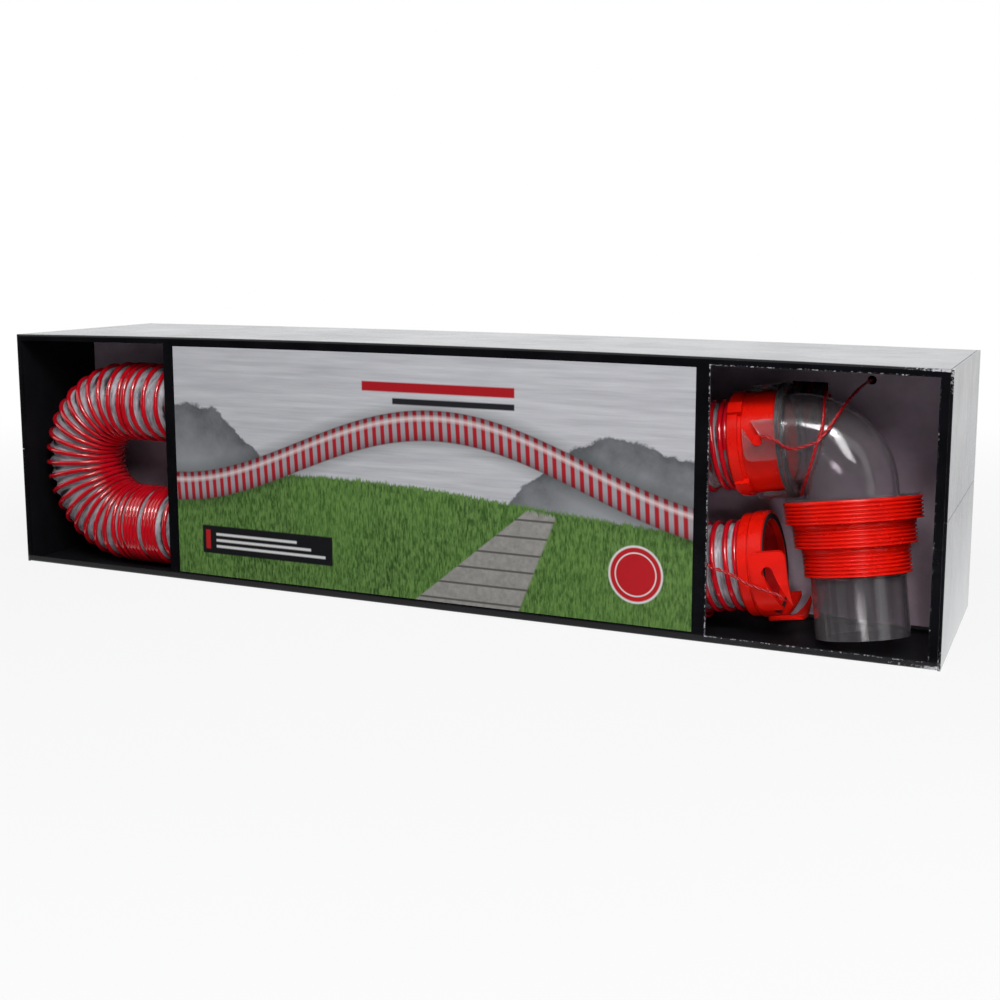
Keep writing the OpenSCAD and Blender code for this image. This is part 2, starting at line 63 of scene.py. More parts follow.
camera_lens = bpy.data.cameras.new("camera")
camera_lens.sensor_fit = "HORIZONTAL"
camera_lens.sensor_width = 36
camera_lens.lens = 48.66
camera_lens.shift_x = -0.038
camera_lens.shift_y = -0.0626
camera = bpy.data.objects.new("camera", camera_lens)
scene.collection.objects.link(camera)
camera.matrix_world = (
    Matrix.Translation(CAMERA_PLACE)
    @ Matrix.Rotation(CAMERA_TURN, 4, "Z")
    @ Matrix.Rotation(math.radians(90) - CAMERA_DIP, 4, "X")
    @ Matrix.Rotation(CAMERA_ROLL, 4, "Z")
)
scene.camera = camera


# ---- Studio ----
# A pale floor under a white surround. A tall strip and a wide box hang in front,
# a weak low one fills the right window, and a black card keeps the gloss deep.
FLOOR_SIZE = 14
# The floor's own glow grows from the first share to the second between two
# distances from the carton's middle
FLOOR_FADE = (0.55, 1.5)
FLOOR_GLOW = (0.87, 1.0)
FLAG_NEAR = -0.115
FLAG_FAR = -2.6
FLAG_HALF = 3.4
FLAG_FOOT = 0.004
FLAG_TOP = 2.6


def feed(tree, node, inputs):
    """Links the inputs that are given a socket and sets those that are given a value."""
    for name, value in inputs.items():
        if isinstance(value, bpy.types.NodeSocket):
            tree.links.new(value, node.inputs[name])
        else:
            node.inputs[name].default_value = value


def add_node(tree, kind, inputs=None, **settings):
    made = tree.nodes.new(kind)
    for name, value in settings.items():
        setattr(made, name, value)
    feed(tree, made, inputs or {})
    return made


def calculate(tree, operation, first, second=0.0, third=0.0):
    """The result of one step of arithmetic on sockets or numbers."""
    made = add_node(tree, "ShaderNodeMath", {0: first, 1: second, 2: third}, operation=operation)
    return made.outputs[0]


def remap(tree, value, low, high, to_low=0.0, to_high=1.0):
    """The value spread from low and high to to_low and to_high, and held there beyond them."""
    ends = {"From Min": low, "From Max": high, "To Min": to_low, "To Max": to_high}
    return add_node(tree, "ShaderNodeMapRange", {"Value": value, **ends}).outputs[0]


def bare_tree(owner):
    owner.use_nodes = True
    owner.node_tree.nodes.clear()
    return owner.node_tree


def seen_directly(tree):
    """1 for rays from the camera and for those that metal, gloss and glass send on."""
    rays = add_node(tree, "ShaderNodeLightPath").outputs
    seen = calculate(tree, "MAXIMUM", rays["Is Camera Ray"], rays["Is Transmission Ray"])
    return calculate(tree, "MAXIMUM", seen, rays["Is Glossy Ray"])


def make_surround():
    world = bpy.data.worlds.new("surround")
    tree = bare_tree(world)
    lighting = add_node(tree, "ShaderNodeBackground", {"Color": (0.92, 0.96, 1.0, 1), "Strength": 0.22})
    shown = add_node(tree, "ShaderNodeBackground", {"Color": (1, 1, 1, 1), "Strength": 1.0})
    mixed = add_node(tree, "ShaderNodeMixShader",
                     {0: seen_directly(tree), 1: lighting.outputs[0], 2: shown.outputs[0]})
    add_node(tree, "ShaderNodeOutputWorld", {"Surface": mixed.outputs[0]})
    scene.world = world


def stage_sheet(name, shape, finish):
    """A sheet of the studio made from a bmesh."""
    mesh = bpy.data.meshes.new(name)
    shape.to_mesh(mesh)
    shape.free()
    mesh.materials.append(finish)
    sheet = bpy.data.objects.new(name, mesh)
    scene.collection.objects.link(sheet)
    return sheet


def make_floor():
    shape = bmesh.new()
    bmesh.ops.create_grid(shape, x_segments=1, y_segments=1, size=FLOOR_SIZE / 2)
    finish = bpy.data.materials.new("pale_floor")
    tree = bare_tree(finish)
    lit = add_node(tree, "ShaderNodeBsdfDiffuse", {"Color": (0.66, 0.66, 0.66, 1)})
    glow = add_node(tree, "ShaderNodeEmission", {"Color": (1, 1, 1, 1), "Strength": 1.0})
    place = add_node(tree, "ShaderNodeTexCoord").outputs["Object"]
    away = add_node(tree, "ShaderNodeVectorMath", {0: place}, operation="LENGTH").outputs["Value"]
    far = remap(tree, away, *FLOOR_FADE, *FLOOR_GLOW)
    share = calculate(tree, "MULTIPLY", seen_directly(tree), far)
    mixed = add_node(tree, "ShaderNodeMixShader", {0: share, 1: lit.outputs[0], 2: glow.outputs[0]})
    add_node(tree, "ShaderNodeOutputMaterial", {"Surface": mixed.outputs[0]})
    stage_sheet("floor", shape, finish)


def make_flag():
    """A black card on the floor in front and up behind the camera, for reflections only."""
    shape = bmesh.new()
    rows = ((FLAG_NEAR, FLAG_FOOT), (FLAG_FAR, FLAG_FOOT), (FLAG_FAR, FLAG_TOP))
    corners = [shape.verts.new((x, y, z)) for y, z in rows for x in (-FLAG_HALF, FLAG_HALF)]
    for first in (0, 2):
        shape.faces.new([corners[first + k] for k in (0, 2, 3, 1)])
    finish = bpy.data.materials.new("flag_black")
    tree = bare_tree(finish)
    dark = add_node(tree, "ShaderNodeBsdfDiffuse", {"Color": (0.01, 0.01, 0.012, 1)})
    add_node(tree, "ShaderNodeOutputMaterial", {"Surface": dark.outputs[0]})
    flag = stage_sheet("flag", shape, finish)
    flag.visible_camera = False
    flag.visible_diffuse = False
    flag.visible_shadow = False


def soft_box(name, place, target, width, height, watts, spread=180, mirrored=True):
    lamp = bpy.data.lights.new(name, "AREA")
    lamp.shape = "RECTANGLE"
    lamp.size = width
    lamp.size_y = height
    lamp.energy = watts
    lamp.spread = math.radians(spread)
    holder = bpy.data.objects.new(name, lamp)
    scene.collection.objects.link(holder)
    holder.location = place
    holder.rotation_euler = (Vector(target) - Vector(place)).to_track_quat("-Z", "Y").to_euler()
    holder.visible_camera = False
    holder.visible_glossy = mirrored


make_surround()
make_floor()
make_flag()
soft_box("tall_strip", (0.9, -1.45, 1.5), (0.15, -0.05, 0.12), 0.5, 1.2, 17)
soft_box("front_box", (0.45, -1.35, 1.6), (0.1, -0.05, 0.12), 0.95, 0.32, 15)
soft_box("low_box", (0.8, -1.65, 0.12), (0.39, 0, -0.03), 0.3, 0.12, 0.06, spread=14, mirrored=False)


# ---- Carton sleeve ----
# One long sheet of black laminated card, folded round the two hoses and glued,
# with a window die-cut at each end of its front. Its lid bows up a little.
CARD = 0.0025
FOLD_RADIUS = 0.0028
LID_RISE = 0.0042
WINDOW_LIP = 0.0065
LEFT_LIP = 0.005
LEFT_WINDOW = 0.181
RIGHT_LIP = 0.010
RIGHT_WINDOW = 0.183

# How rubbed the card is, from 0 to 1: along its folds, at the right end's front
# corners, and in a thin strip round the right window
FOLD_WEAR = 0.26
CORNER_WEAR = 0.9
CORNER_REACH = 0.03
CUT_WEAR_LEFT = 0.66
CUT_WEAR_RIGHT = 0.5
CUT_WEAR_LEVEL = 0.62
CUT_STRIP = 0.0009
CUT_FADE = 0.0003

# Cuts across the sleeve that let it bow and that carry its wear
BOW_STEPS = 24
END_CUTS = (0.003, 0.006, 0.022, 0.034)
LEVEL_CUTS = (0.06, 0.12, 0.18)
# Places less apart than the first are the same, and those less far behind the
# front than the second lie on its outer face
TOUCHING = 1e-5
SKIN = 1e-4

front_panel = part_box("carton_front")
sleeve_left, sleeve_right = front_panel[0].x, front_panel[1].x
front_y, back_y = front_panel[0].y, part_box("carton_back")[1].y
carton_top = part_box("carton_top")[1].z
carton_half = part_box("right_top_flap")[1].x
window_low, window_high = WINDOW_LIP, carton_top - WINDOW_LIP
left_window = (-carton_half + LEFT_LIP, -carton_half + LEFT_LIP + LEFT_WINDOW)
right_window = (carton_half - RIGHT_LIP - RIGHT_WINDOW, carton_half - RIGHT_LIP)


def new_group(name, inputs, outputs):
    tree = bpy.data.node_groups.new(name, "ShaderNodeTree")
    for label, kind, value in inputs:
        socket = tree.interface.new_socket(name=label, in_out="INPUT", socket_type=kind)
        if value is not None:
            socket.default_value = value
    for label in outputs:
        tree.interface.new_socket(name=label, in_out="OUTPUT", socket_type="NodeSocketFloat")
    return tree, tree.nodes.new("NodeGroupInput").outputs, tree.nodes.new("NodeGroupOutput")


def cloud_noise(tree, place, scale, detail, roughness=0.5):
    made = add_node(tree, "ShaderNodeTexNoise", {"Vector": place, "Scale": scale, "Detail": detail,
                    "Roughness": roughness})
    return made.outputs[0]


def make_mottle():
    """The soft cloudiness of card and moulded plastic, and a finer copy of it for bump."""
    tree, given, made = new_group(
        "mottle",
        [("Vector", "NodeSocketVector", None), ("Scale", "NodeSocketFloat", 20.0),
         ("Low", "NodeSocketFloat", 0.0), ("High", "NodeSocketFloat", 1.0)],
        ["Value", "Grain"],
    )
    clouds = cloud_noise(tree, given["Vector"], given["Scale"], 6.0, 0.62)
    grain = cloud_noise(tree, given["Vector"], calculate(tree, "MULTIPLY", given["Scale"], 14.0), 3.0)
    feed(tree, made, {"Value": remap(tree, clouds, 0.3, 0.7, given["Low"], given["High"]),
                      "Grain": grain})
    return tree


def make_scuffs():
    """Ragged pale specks where laminated card is cut or creased, denser where Wear is high."""
    tree, given, made = new_group(
        "scuffs",
        [("Vector", "NodeSocketVector", None), ("Wear", "NodeSocketFloat", 0.0),
         ("Scale", "NodeSocketFloat", 300.0)],
        ["Mask"],
    )
    dashes = cloud_noise(tree, given["Vector"], given["Scale"], 4.0, 0.7)
    raised = calculate(tree, "MULTIPLY_ADD", given["Wear"], 0.5, dashes)
    feed(tree, made, {"Mask": remap(tree, raised, 0.84, 0.96)})
    return tree


MOTTLE = make_mottle()
SCUFFS = make_scuffs()


def mottled(tree, place, scale, low=0.0, high=1.0):
    """The mottle at a scale and between two values, and its fine grain."""
    made = add_node(tree, "ShaderNodeGroup", node_tree=MOTTLE)
    feed(tree, made, {"Vector": place, "Scale": scale, "Low": low, "High": high})
    return made.outputs["Value"], made.outputs["Grain"]


def drawn_out(tree, place, scale):
    """Coordinates that stretch a texture along the axes whose scale is small."""
    return add_node(tree, "ShaderNodeMapping", {"Vector": place, "Scale": scale}).outputs[0]


def blend_colours(tree, share, first, second):
    """first where share is 0 and second where it is 1; either is a colour or a socket."""
    mixed = add_node(tree, "ShaderNodeMix", {0: share}, data_type="RGBA")
    for socket, value in ((6, first), (7, second)):
        feed(tree, mixed, {socket: value if isinstance(value, bpy.types.NodeSocket) else (*value, 1)})
    return mixed.outputs[2]


def new_finish(name):
    """A material with its tree, its shader and the piece's own coordinates."""
    finish = bpy.data.materials.new(name)
    tree = bare_tree(finish)
    shader = add_node(tree, "ShaderNodeBsdfPrincipled")
    add_node(tree, "ShaderNodeOutputMaterial", {"Surface": shader.outputs[0]})
    place = add_node(tree, "ShaderNodeTexCoord").outputs["Object"]
    return finish, tree, shader, place


def bump(tree, shader, height, distance, strength):
    raised = add_node(tree, "ShaderNodeBump",
                      {"Height": height, "Distance": distance, "Strength": strength})
    feed(tree, shader, {"Normal": raised.outputs[0]})


def card_finish(name, dark, light, rough, shine, relief=0.12, painted_sheen=0.0, film=0.0):
    """Cloudy, dimpled card that is chipped pale where wear is high. A painted pale reflection
    is blended into its colour at a low angle, most at its foot, and film is how much its foot shines."""
    finish, tree, shader, place = new_finish(name)
    cloud, grain = mottled(tree, place, 26.0)
    smear, _ = mottled(tree, place, 6.0, -0.05, 0.06)
    wear = add_node(tree, "ShaderNodeAttribute", attribute_name="wear").outputs["Fac"]
    chips = add_node(tree, "ShaderNodeGroup", node_tree=SCUFFS)
    feed(tree, chips, {"Vector": place, "Wear": wear, "Scale": 480.0})
    colour = blend_colours(tree, cloud, dark, light)
    colour = blend_colours(tree, chips.outputs["Mask"], colour, (0.5, 0.5, 0.52))
    # Painted reflection: a streaked pale blue-white is blended in where the card is seen at a low angle,
    # stronger towards its foot as painted floor bounce
    if painted_sheen:
        level = add_node(tree, "ShaderNodeSeparateXYZ", {"Vector": place}).outputs["Z"]
        slant = add_node(tree, "ShaderNodeLayerWeight", {"Blend": 0.5}).outputs["Facing"]
        sheen_streaks, _ = mottled(tree, drawn_out(tree, place, (0.3, 1.0, 0.12)), 90.0, 0.45, 1.45)
        painted_sheen_share = remap(tree, level, 0.0, carton_top, 1.5 * painted_sheen, 0.75 * painted_sheen)
        painted_sheen_share = calculate(tree, "MULTIPLY", painted_sheen_share, sheen_streaks)
        painted_sheen_share = calculate(tree, "MULTIPLY", calculate(tree, "POWER", slant, 6.0), painted_sheen_share)
        colour = blend_colours(tree, painted_sheen_share, colour, (0.8, 0.84, 0.93))
        foot_shine = remap(tree, level, 0.0, carton_top / 2, film, 0.0)
        feed(tree, shader, {"Coat Weight": foot_shine, "Coat Roughness": 0.15})
    feed(tree, shader, {"Base Color": colour, "Roughness": calculate(tree, "ADD", smear, rough),
                        "Specular IOR Level": shine})
    bump(tree, shader, calculate(tree, "MULTIPLY_ADD", grain, 0.25, cloud), 0.0005, relief)
    return finish


# The sleeve's card gets a painted pale reflection at a low angle
BLACK_CARD = card_finish("black_laminated_card", (0.003, 0.003, 0.004), (0.007, 0.007, 0.009),
                         0.17, 0.25, painted_sheen=0.6)
INNER_CARD = card_finish("black_card_inside", (0.004, 0.004, 0.005), (0.008, 0.008, 0.01), 0.5, 0.15)


def place_mesh(name, mesh, finishes, body, slot, *stands_for):
    """A mesh as a piece on its body, in place of its CAD nodes."""
    piece = bpy.data.objects.new(name, mesh)
    scene.collection.objects.link(piece)
    for finish in finishes:
        mesh.materials.append(finish)
    if body:
        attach(piece, body)
    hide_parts(*stands_for)
    return piece


def new_piece(name, shape, finishes, body, slot, *stands_for):
    """A piece made from a bmesh."""
    mesh = bpy.data.meshes.new(name)
    shape.to_mesh(mesh)
    shape.free()
    return place_mesh(name, mesh, finishes, body, slot, *stands_for)


def cut_across(shape, axis, at):
    place, normal = Vector((0, 0, 0)), Vector((0, 0, 0))
    place[axis], normal[axis] = at, 1
    everything = shape.verts[:] + shape.edges[:] + shape.faces[:]
    bmesh.ops.bisect_plane(shape, geom=everything, plane_co=place, plane_no=normal, dist=1e-6)


def round_edges(shape, edges, radius, segments=2):
    bmesh.ops.bevel(shape, geom=edges, offset=radius, segments=segments, profile=0.5,
                    affect="EDGES", material=-1)


def new_block(low, high):
    """A bmesh box between two corners."""
    shape = bmesh.new()
    bmesh.ops.create_cube(shape, size=1)
    bmesh.ops.scale(shape, vec=high - low, verts=shape.verts)
    bmesh.ops.translate(shape, vec=(low + high) / 2, verts=shape.verts)
    return shape


def bowed(place):
    """Where a point of the sleeve goes once the lid bows up between its ends."""
    lengthwise = max(0.0, 1 - (place.x / carton_half) ** 2)
    forward = 1 - 0.5 * (place.y - front_y) / (back_y - front_y)
    upward = (max(place.z, 0) / carton_top) ** 3
    return place + Vector((0, 0, LID_RISE * lengthwise * forward * upward))


def corner_wear(place):
    """How rubbed a point is by its distance from the nearest front corner of the right end."""
    gaps = [(place - Vector((carton_half, front_y, at))).length for at in (0, carton_top)]
    return CORNER_WEAR * math.exp(-(min(gaps) / CORNER_REACH))


def in_window(place):
    inside_x = any(low < place.x < high for low, high in (left_window, right_window))
    return place.y < front_y + SKIN and inside_x and window_low < place.z < window_high


def cut_wear(place):
    """How ragged the die-cut edge of the right window is at a point of the front face."""
    low, high = right_window
    reach = CUT_STRIP + TOUCHING
    over_x = low - reach < place.x < high + reach
    over_z = window_low - reach < place.z < window_high + reach
    if not (over_x and over_z) or place.y > front_y + SKIN:
        return 0.0
    if place.x < low + TOUCHING:
        return CUT_WEAR_LEFT
    if place.x > high - TOUCHING:
        return CUT_WEAR_RIGHT
    return CUT_WEAR_LEVEL


def faces_inside(face):
    """Whether a face of the sleeve is on its unlaminated inside."""
    middle = face.calc_center_median()
    towards = Vector((middle.x, 0, carton_top / 2)) - middle
    return face.normal.dot(towards) > 0 and abs(face.normal.x) < 0.5


def make_sleeve():
    shape = new_block(Vector((sleeve_left, front_y, 0)), Vector((sleeve_right, back_y, carton_top)))
    ends = [face for face in shape.faces if abs(face.normal.x) > 0.9]
    bmesh.ops.delete(shape, geom=ends, context="FACES_ONLY")
    folds = [edge for edge in shape.edges if abs((edge.verts[0].co - edge.verts[1].co).x) > 0.1]
    round_edges(shape, folds, FOLD_RADIUS, 4)
    for step in range(1, BOW_STEPS):
        cut_across(shape, 0, sleeve_left + (sleeve_right - sleeve_left) * step / BOW_STEPS)
    for out in (CUT_STRIP + CUT_FADE, CUT_STRIP, 0):
        for low, high in (left_window, right_window):
            cut_across(shape, 0, low - out)
            cut_across(shape, 0, high + out)
        cut_across(shape, 2, window_low - out)
        cut_across(shape, 2, window_high + out)
    for back in END_CUTS:
        cut_across(shape, 0, sleeve_right - back)
    for at in LEVEL_CUTS:
        cut_across(shape, 2, at)
    opened = [face for face in shape.faces if in_window(face.calc_center_median())]
    bmesh.ops.delete(shape, geom=opened, context="FACES")
    bmesh.ops.recalc_face_normals(shape, faces=shape.faces)
    bmesh.ops.solidify(shape, geom=shape.faces, thickness=CARD)
    wear = shape.verts.layers.float.new("wear")
    for vertex in shape.verts:
        across = min(vertex.co.y - front_y, back_y - vertex.co.y)
        upright = min(vertex.co.z, carton_top - vertex.co.z)
        on_fold = -TOUCHING < across < FOLD_RADIUS and -TOUCHING < upright < FOLD_RADIUS
        rubbed = FOLD_WEAR + corner_wear(vertex.co) if on_fold else 0.0
        vertex[wear] = max(rubbed, cut_wear(vertex.co))
        vertex.co = bowed(vertex.co)
    for face in shape.faces:
        face.material_index = 1 if faces_inside(face) else 0
    new_piece("carton_sleeve", shape, [BLACK_CARD, INNER_CARD], "carton", "carton",
              "carton_bottom", "carton_top", "carton_back", "carton_front")


make_sleeve()


# ---- End flaps ----
# Outer flaps fold down and up from the sleeve and meet at mid height; the dust
# flaps fold in behind them from the front and the back. Folds are creased soft.
FLAP_EDGE = 0.0005
FLAP_CUTS = (0.004, 0.012, 0.03, 0.06)
# Each outer flap reaches this much further towards the other, into the seam
SEAM_CLOSING = 0.0004
# The flaps get a painted pale reflection at a low angle, strongest at their foot
FLAP_CARD = card_finish("black_flap_card", (0.004, 0.004, 0.005), (0.009, 0.009, 0.011), 0.2, 0.46,
                        relief=0.25, painted_sheen=0.5, film=0.7)


def make_flap(name):
    low, high = [corner.copy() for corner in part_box(name)]
    if low.z > carton_top / 4:
        low.z -= SEAM_CLOSING
    else:
        high.z += SEAM_CLOSING
    shape = new_block(low, high)
    round_edges(shape, shape.edges[:], FLAP_EDGE)
    for step in FLAP_CUTS:
        cut_across(shape, 1, low.y + step)
        cut_across(shape, 2, low.z + step)
        cut_across(shape, 2, high.z - step)
    wear = shape.verts.layers.float.new("wear")
    for vertex in shape.verts:
        vertex[wear] = corner_wear(vertex.co)
    new_piece(name + "_card", shape, [FLAP_CARD], name, "carton", name)


for side in ("left", "right"):
    for level in ("top", "bottom"):
        make_flap(f"{side}_{level}_flap")
    for depth in ("front", "back"):
        dust_flap = nodes[f"{side}_{depth}_dust_flap"].data
        dust_flap.materials.clear()
        dust_flap.materials.append(INNER_CARD)


# ---- Printed front ----
# A glossy printed sheet glued between the windows: a silver sky over slate
# hills and mown grass, a paved path, and a ribbed red hose that rises across it.
PALE_INK = (0.72, 0.72, 0.72)
# The path's middle across the sheet and half its width, each as what it gains
# over the sheet's height and what it is at the foot
PATH_MIDDLE = (0.34, 0.6)
PATH_HALF = (-0.17, 0.098)
PATH_JOINTS = 88.0
# Boxes of ink, in shares of the sheet's length and height: left, right, foot, top
HEADLINE = (0.4, 0.69, 0.86, 0.9)
SUBLINE = (0.46, 0.69, 0.81, 0.835)
LABEL = (0.055, 0.335, 0.1, 0.225)
LABEL_MARK = (0.062, 0.072, 0.12, 0.205)
LABEL_LINES = [(0.085, 0.32 - 0.03 * k, 0.128 + 0.027 * k, 0.139 + 0.027 * k) for k in range(3)]
# The round spot: its middle, its radii in shares of the sheet's height, and how
# much each share of the length counts against one of the height
SPOT_MIDDLE = (0.905, 0.2)
SPOT_RIM = 0.115
SPOT_RED = 0.107
SPOT_RING = (0.083, 0.088)
SPOT_STRETCH = 2.46
# The printed hose: half its width, its ribs along the sheet and their slant
INK_HOSE_HALF = 0.063
INK_RIBS = 62
INK_RIB_SLANT = 9.0
PRINT_CUTS = (24, 6)

print_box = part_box("front_print")


def print_finish():
    """The picture, painted in layers from the sky forwards."""
    finish, tree, shader, place = new_finish("printed_sheet")
    low, high = print_box
    axes = add_node(tree, "ShaderNodeSeparateXYZ", {"Vector": place}).outputs
    u = remap(tree, axes["X"], low.x, high.x)
    v = remap(tree, axes["Z"], low.z, high.z)

    def less(first, second):
        return calculate(tree, "SUBTRACT", first, second)

    def times(first, second):
        return calculate(tree, "MULTIPLY", first, second)

    def over(value, edge, soft=0.004):
        return remap(tree, value, edge - soft, edge + soft)

    def under(value, edge, soft=0.004):
        return less(1.0, over(value, edge, soft))

    def size_of(value):
        return calculate(tree, "ABSOLUTE", value)

    def line(value, slope, start):
        return calculate(tree, "MULTIPLY_ADD", value, slope, start)

    def wave(turns, start, size, middle):
        return line(calculate(tree, "SINE", line(u, turns * math.tau, start)), size, middle)

    def box_mask(left, right, foot, top):
        sides = times(over(u, left, 0.001), under(u, right, 0.001))
        return times(sides, times(over(v, foot, 0.003), under(v, top, 0.003)))

    def mixed(share, first, second):
        return blend_colours(tree, share, first, second)

    brushed, _ = mottled(tree, drawn_out(tree, place, (3.0, 1.0, 60.0)), 4.0)
    sky = mixed(brushed, (0.46, 0.46, 0.49), (0.62, 0.62, 0.65))

    rocks, _ = mottled(tree, place, 34.0)
    ridge = calculate(tree, "ADD", wave(turns=1.0, start=1.75, size=0.2, middle=0.5),
                      wave(turns=2.7, start=0.4, size=0.06, middle=0.0))
    below_ridge = less(line(rocks, 0.05, ridge), v)
    slate = mixed(rocks, (0.035, 0.037, 0.042), (0.16, 0.165, 0.18))
    slate = mixed(over(below_ridge, 0.12, 0.16), slate, (0.3, 0.31, 0.33))

    blades = drawn_out(tree, place, (1.0, 1.0, 0.28))
    turf = cloud_noise(tree, blades, 620.0, 3.0)
    patches, grain = mottled(tree, place, 17.0)
    grass = mixed(over(turf, 0.5, 0.16), (0.025, 0.068, 0.012), (0.15, 0.27, 0.07))
    grass = mixed(times(patches, 0.35), grass, (0.13, 0.3, 0.055))
    skyline = calculate(tree, "ADD", wave(turns=0.62, start=0.35, size=0.055, middle=0.43),
                        line(turf, 0.05, -0.025))

    path_side = less(size_of(less(u, line(v, *PATH_MIDDLE))), line(v, *PATH_HALF))
    path = times(under(path_side, 0.0, 0.002), under(less(v, skyline), -0.02, 0.008))
    joints = over(calculate(tree, "SINE", times(v, PATH_JOINTS)), 0.93, 0.05)
    stone = mixed(joints, mixed(grain, (0.2, 0.19, 0.175), (0.4, 0.385, 0.36)), (0.11, 0.105, 0.1))

    offset = less(v, wave(turns=0.9, start=-1.5, size=0.17, middle=0.56))
    gap = size_of(offset)
    rib_angle = line(offset, INK_RIB_SLANT, times(u, INK_RIBS * math.tau))
    ribs = over(calculate(tree, "SINE", rib_angle), 0.1, 0.35)
    towards_edge = times(gap, 13.0)
    gloss = under(size_of(less(offset, 0.03)), 0.008, 0.008)
    hose = mixed(ribs, (0.36, 0.34, 0.37), (0.42, 0.012, 0.02))
    hose = mixed(times(towards_edge, towards_edge), hose, (0.05, 0.005, 0.01))
    hose = mixed(times(gloss, 0.6), hose, (0.95, 0.8, 0.8))

    across = times(less(u, SPOT_MIDDLE[0]), SPOT_STRETCH)
    upward = less(v, SPOT_MIDDLE[1])
    squares = [calculate(tree, "POWER", value, 2.0) for value in (across, upward)]
    spot = calculate(tree, "POWER", calculate(tree, "ADD", *squares), 0.5)
    ring = times(over(spot, SPOT_RING[0], 0.002), under(spot, SPOT_RING[1], 0.002))

    picture = sky
    for mask, ink in [
        (over(below_ridge, 0.0, 0.006), slate),
        (over(less(skyline, v), 0.0, 0.006), grass),
        (path, stone),
        (times(under(gap, INK_HOSE_HALF + 0.022, 0.03), 0.45), (0.015, 0.03, 0.015)),
        (under(gap, INK_HOSE_HALF, 0.003), hose),
        (box_mask(*LABEL), (0.012, 0.012, 0.014)),
        (box_mask(*LABEL_MARK), (0.5, 0.012, 0.014)),
        *[(box_mask(*bar), PALE_INK) for bar in LABEL_LINES],
        (under(spot, SPOT_RIM, 0.003), PALE_INK),
        (under(spot, SPOT_RED, 0.003), (0.5, 0.008, 0.014)),
        (ring, PALE_INK),
        (box_mask(*HEADLINE), (0.42, 0.008, 0.014)),
        (box_mask(*SUBLINE), (0.02, 0.02, 0.024)),
    ]:
        picture = mixed(mask, picture, ink)
    feed(tree, shader, {"Base Color": picture, "Roughness": 0.3, "Coat Weight": 0.35,
                        "Coat Roughness": 0.1})
    bump(tree, shader, grain, 0.0002, 0.25)
    return finish


def make_print():
    low, high = print_box
    shape = new_block(low, high)
    for axis, steps in zip((0, 2), PRINT_CUTS):
        for step in range(1, steps):
            cut_across(shape, axis, low[axis] + (high[axis] - low[axis]) * step / steps)
    for vertex in shape.verts:
        vertex.co = bowed(vertex.co)
    new_piece("printed_front", shape, [print_finish()], "carton", "print", "front_print")


make_print()


# ---- Divider ----
# A plain grey card between the hoses, with a hand hole, a hole for the upper
# tie and a black foot folded forwards on the carton's floor.
WELD = 2e-6
FLAT_BELOW = math.radians(0.4)
SMOOTH_BELOW = math.radians(28)


def finished_copy(name, finish, soft_edge, body, slot, new_name=None):
    """A welded copy of a CAD node with smooth faces and softened edges, in the node's place."""
    shape = bmesh.new()
    shape.from_mesh(nodes[name].data)
    bmesh.ops.remove_doubles(shape, verts=shape.verts, dist=WELD)
    bmesh.ops.dissolve_limit(shape, angle_limit=FLAT_BELOW, verts=shape.verts, edges=shape.edges)
    for edge in shape.edges:
        edge.smooth = edge.calc_face_angle(0.0) < SMOOTH_BELOW
    for face in shape.faces:
        face.smooth = True
    piece = new_piece(new_name or name + "_moulded", shape, [finish], body, slot, name)
    if soft_edge:
        rounding = piece.modifiers.new("soft_edges", "BEVEL")
        rounding.width = soft_edge
        rounding.segments = 2
        rounding.limit_method = "ANGLE"
        rounding.angle_limit = SMOOTH_BELOW
        rounding.harden_normals = True
        rounding.use_clamp_overlap = True


GREY_CARD = card_finish("grey_divider_card", (0.43, 0.33, 0.4), (0.6, 0.47, 0.56), 0.5, 0.3)
finished_copy("divider", GREY_CARD, 0.0, "carton", "divider_card", "divider_sheet")
finished_copy("divider_foot", INNER_CARD, 0.0004, "carton", "carton", "divider_foot_strip")


# ---- Front hose ----
# A thin grey tube with a red bead wound round it in one long spiral. It lies in
# a U with its bend in the left window, and is bonded to a cuff at each end.
BEAD_RADIUS = 0.0024
BEAD_MIDDLE = 0.0381
WALL_RADIUS = 0.0374
WALL_THICKNESS = 0.0006
USUAL_TURN = 0.014
MOST_SLACK = 1.5
FRONT_SAG = 0.0033
PUCKER_DEPTH = 0.0018
PUCKERS = Vector((90, 34, 34))
STRAIGHT = 0.082
BEND_RADIUS = 0.06425
LOW_LEG = 0.043
BEND_X = -0.35685
BEND_Y = -0.0632
CURVE_POINTS = 80
WALL_SIDES = 44
WALL_RINGS = 8
BEAD_RINGS = 32

upper_tilt, lower_tilt = math.radians(8.0), math.radians(9.0)
upper_end = Vector((0.28362, -0.0497, 0.163648))
lower_end = Vector((0.296802, -0.0563, 0.059367))
upper_dir = Vector((math.cos(upper_tilt), 0, math.sin(upper_tilt)))
lower_dir = Vector((math.cos(lower_tilt), 0, math.sin(lower_tilt)))
# Turns of the bead in each stretch: straight, sweep, bend, sweep and straight
FRONT_TURNS = (6, 40, 18, 41, 6)
# How far each of these turns lies from the next, against the usual distance
CLOSE_TURNS = {0: 0.35, 1: 0.5, 2: 1.2, 41: 1.08, 42: 1.06, 43: 0.75, 44: 0.42, 45: 0.9,
               64: 0.55, 65: 0.52, 66: 0.3, 67: 0.3, 68: 0.3, 69: 0.75, 70: 0.29, 71: 0.29, 72: 0.29,
               73: 1.0, 107: 0.8, 108: 0.72, 109: 0.85, 110: 0.6}


